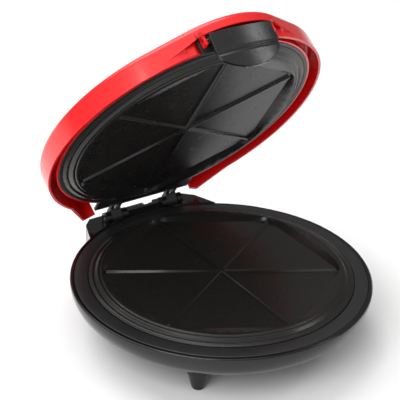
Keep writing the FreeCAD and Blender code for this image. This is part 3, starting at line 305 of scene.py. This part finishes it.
def tongue_outline(rows):
    """Half widths and levels down the side of the tongue, from its top to the tip of its foot."""
    inset = HALF_WIDTH - CORNER_ROUND
    far = FOOT_ROUND - CORNER_ROUND
    fall = math.sqrt(far * far - inset * inset)
    foot_z = FOOT_ROUND + TIP_Z
    corner_z = foot_z - fall
    turn = math.atan2(fall, inset)
    spots = [(HALF_WIDTH, TOP_Z + (corner_z - TOP_Z) * i / rows) for i in range(rows)]
    spots += [(inset + CORNER_ROUND * math.cos(turn * i / rows), corner_z - CORNER_ROUND * math.sin(turn * i / rows))
              for i in range(rows)]
    foot = [turn + (math.pi / 2 - turn) * i / rows for i in range(rows + 1)]
    return spots + [(FOOT_ROUND * math.cos(a), foot_z - FOOT_ROUND * math.sin(a)) for a in foot]


def smooth_step(low, high, number):
    share = min(max((number - low) / (high - low), 0.0), 1.0)
    return share * share * (3 - 2 * share)


def tongue_depth(x, z):
    """Depth of the front face: bent round the bowl, with a step out to the thicker foot."""
    bent = FACE_Y + BEND - math.sqrt(BEND * BEND - x * x)
    ridge = 0.35 * smooth_step(-3.0, -5.0, z) * (1 - smooth_step(-5.0, -6.6, z))
    return bent - LIP * smooth_step(-6.8, -9.2, z) - ridge


def add_tongue():
    rows, columns = 22, 48
    bm = bmesh.new()
    outline = tongue_outline(rows)[:-1] + [(0.6, TIP_Z)]
    sides = []
    for behind in (0, 1):
        grid = []
        for half, z in outline:
            row = []
            for i in range(columns + 1):
                x = half * (2 * i / columns - 1)
                y = tongue_depth(x, z) if not behind else tongue_depth(x, TOP_Z) + PLATE
                row.append(bm.verts.new(opened(leaned((x, y, z)))))
            grid.append(row)
        sides.append(grid)
    front, back = sides
    last = len(outline) - 1
    for r in range(last):
        for c in range(columns):
            bm.faces.new((front[r][c], front[r + 1][c], front[r + 1][c + 1], front[r][c + 1]))
            bm.faces.new((back[r][c], back[r][c + 1], back[r + 1][c + 1], back[r + 1][c]))
        for c, flip in ((0, False), (columns, True)):
            loop = [front[r][c], back[r][c], back[r + 1][c], front[r + 1][c]]
            bm.faces.new(loop[::-1] if flip else loop)
    for r, flip in ((0, True), (last, False)):
        for c in range(columns):
            loop = [front[r][c], back[r][c], back[r][c + 1], front[r][c + 1]]
            bm.faces.new(loop[::-1] if flip else loop)
    add_round(bm, 3.6, -HALF_WIDTH, HALF_WIDTH)
    add_slab(bm, (-HALF_WIDTH + 1, tongue_depth(HALF_WIDTH, TOP_Z) + 1, 7.4), (HALF_WIDTH - 1, PIVOT.y, 12.6))
    add_slab(bm, (-12, FACE_Y + PLATE / 2, TIP_Z + 1), (12, FACE_Y + PLATE + 1.3, TIP_Z + 3.4))
    bmesh.ops.recalc_face_normals(bm, faces=bm.faces)
    for face in bm.faces:
        face.smooth = True
    mesh = bpy.data.meshes.new("latch_tongue")
    bm.to_mesh(mesh)
    bm.free()
    obj = stand_in("latch_handle", mesh, "_tongue")
    bevel = obj.modifiers.new("edges", "BEVEL")
    bevel.width = 0.5 * MM
    bevel.segments = 3
    bevel.limit_method = "ANGLE"
    bevel.angle_limit = math.radians(50)
    obj.modifiers.new("normals", "WEIGHTED_NORMAL").keep_sharp = True


def add_round(bm, radius, start, end, steps=32):
    """The barrel that the latch pin passes through."""
    rings = []
    for x in (start, end):
        rings.append([bm.verts.new(opened(leaned((x, PIVOT.y + radius * math.cos(2 * math.pi * i / steps),
                                                   PIVOT.z + radius * math.sin(2 * math.pi * i / steps)))))
                      for i in range(steps)])
    for i in range(steps):
        j = (i + 1) % steps
        bm.faces.new((rings[0][i], rings[1][i], rings[1][j], rings[0][j]))
    bm.faces.new(rings[0])
    bm.faces.new(rings[1][::-1])


def add_slab(bm, low, high):
    """A web or hook of the tongue, between two opposite corners."""
    corners = [bm.verts.new(opened(leaned((x, y, z))))
               for x in (low[0], high[0]) for y in (low[1], high[1]) for z in (low[2], high[2])]
    for face in ((0, 1, 3, 2), (4, 6, 7, 5), (0, 4, 5, 1), (2, 3, 7, 6), (0, 2, 6, 4), (1, 5, 7, 3)):
        bm.faces.new([corners[i] for i in face])


for node, radius in (("lower_plate", 0), ("upper_plate", 0), ("lid_shell", 0), ("base_housing", 0),
                     ("base_deck", 0), ("lid_frame", 0)):
    eased(node, radius)
add_tongue()


def add_camera():
    """The camera stands where the photograph's perspective puts it."""
    azimuth, elevation, roll = (math.radians(v) for v in (-34.64, 27.82, 1.91))
    back = Vector((math.sin(azimuth) * math.cos(elevation), -math.cos(azimuth) * math.cos(elevation),
                   math.sin(elevation)))
    right = Vector((math.cos(azimuth), math.sin(azimuth), 0))
    up = back.cross(right)
    across = right * math.cos(roll) + up * math.sin(roll)
    upward = up * math.cos(roll) - right * math.sin(roll)
    spot = across * -20.84 + upward * 65.17 + back * 1286.82 + Vector((0, AXIS_Y, RIM_Z))
    data = bpy.data.cameras.new("camera")
    data.sensor_width = 36
    data.lens = 1333.96 * 36 / 400
    data.clip_start = 0.05
    data.clip_end = 50
    obj = bpy.data.objects.new("camera", data)
    turn = Matrix((across, upward, back)).transposed()
    obj.matrix_world = Matrix.Translation(spot * MM) @ turn.to_4x4()
    scene.collection.objects.link(obj)
    scene.camera = obj


def add_light(name, place, target, size, power, color=(1, 1, 1), height=None):
    data = bpy.data.lights.new(name, "AREA")
    data.shape = "RECTANGLE"
    data.size = size
    data.size_y = height or size
    data.energy = power
    data.color = color
    obj = bpy.data.objects.new(name, data)
    aim = Vector(target) - Vector(place)
    obj.matrix_world = Matrix.Translation(place) @ aim.to_track_quat("-Z", "Y").to_matrix().to_4x4()
    scene.collection.objects.link(obj)


def add_stage():
    mesh = bpy.data.meshes.new("floor")
    bm = bmesh.new()
    bmesh.ops.create_grid(bm, x_segments=2, y_segments=2, size=6)
    bm.to_mesh(mesh)
    bm.free()
    floor = bpy.data.objects.new("floor", mesh)
    scene.collection.objects.link(floor)
    paint(floor, floor_material())
    world = bpy.data.worlds.new("studio")
    world.use_nodes = True
    tree = world.node_tree
    place = tree.nodes.new("ShaderNodeTexCoord")
    side = tree.nodes.new("ShaderNodeVectorMath")
    side.operation = "DOT_PRODUCT"
    side.inputs[1].default_value = (-0.36, -0.22, 0.90)
    shade = tree.nodes.new("ShaderNodeValToRGB")
    tree.links.new(place.outputs["Generated"], side.inputs[0])
    tree.links.new(side.outputs["Value"], shade.inputs["Fac"])
    tree.links.new(shade.outputs["Color"], tree.nodes["Background"].inputs["Color"])
    shade.color_ramp.elements[0].position = 0.10
    shade.color_ramp.elements[0].color = (0.30, 0.29, 0.28, 1)
    shade.color_ramp.elements[1].position = 0.90
    shade.color_ramp.elements[1].color = (1, 1, 1, 1)
    tree.nodes["Background"].inputs["Strength"].default_value = 0.7
    scene.world = world
    scene.view_settings.view_transform = "Standard"
    add_light("key", (-1.5, -0.9, 1.5), (0, 0, 0.15), 1.5, 34)
    add_light("top", (-0.2, 1.0, 2.0), (0, 0, 0.1), 2.0, 34)
    add_light("fill", (1.25, -0.69, 1.5), (0, 0, 0.2), 0.4, 3)


add_camera()
add_stage()
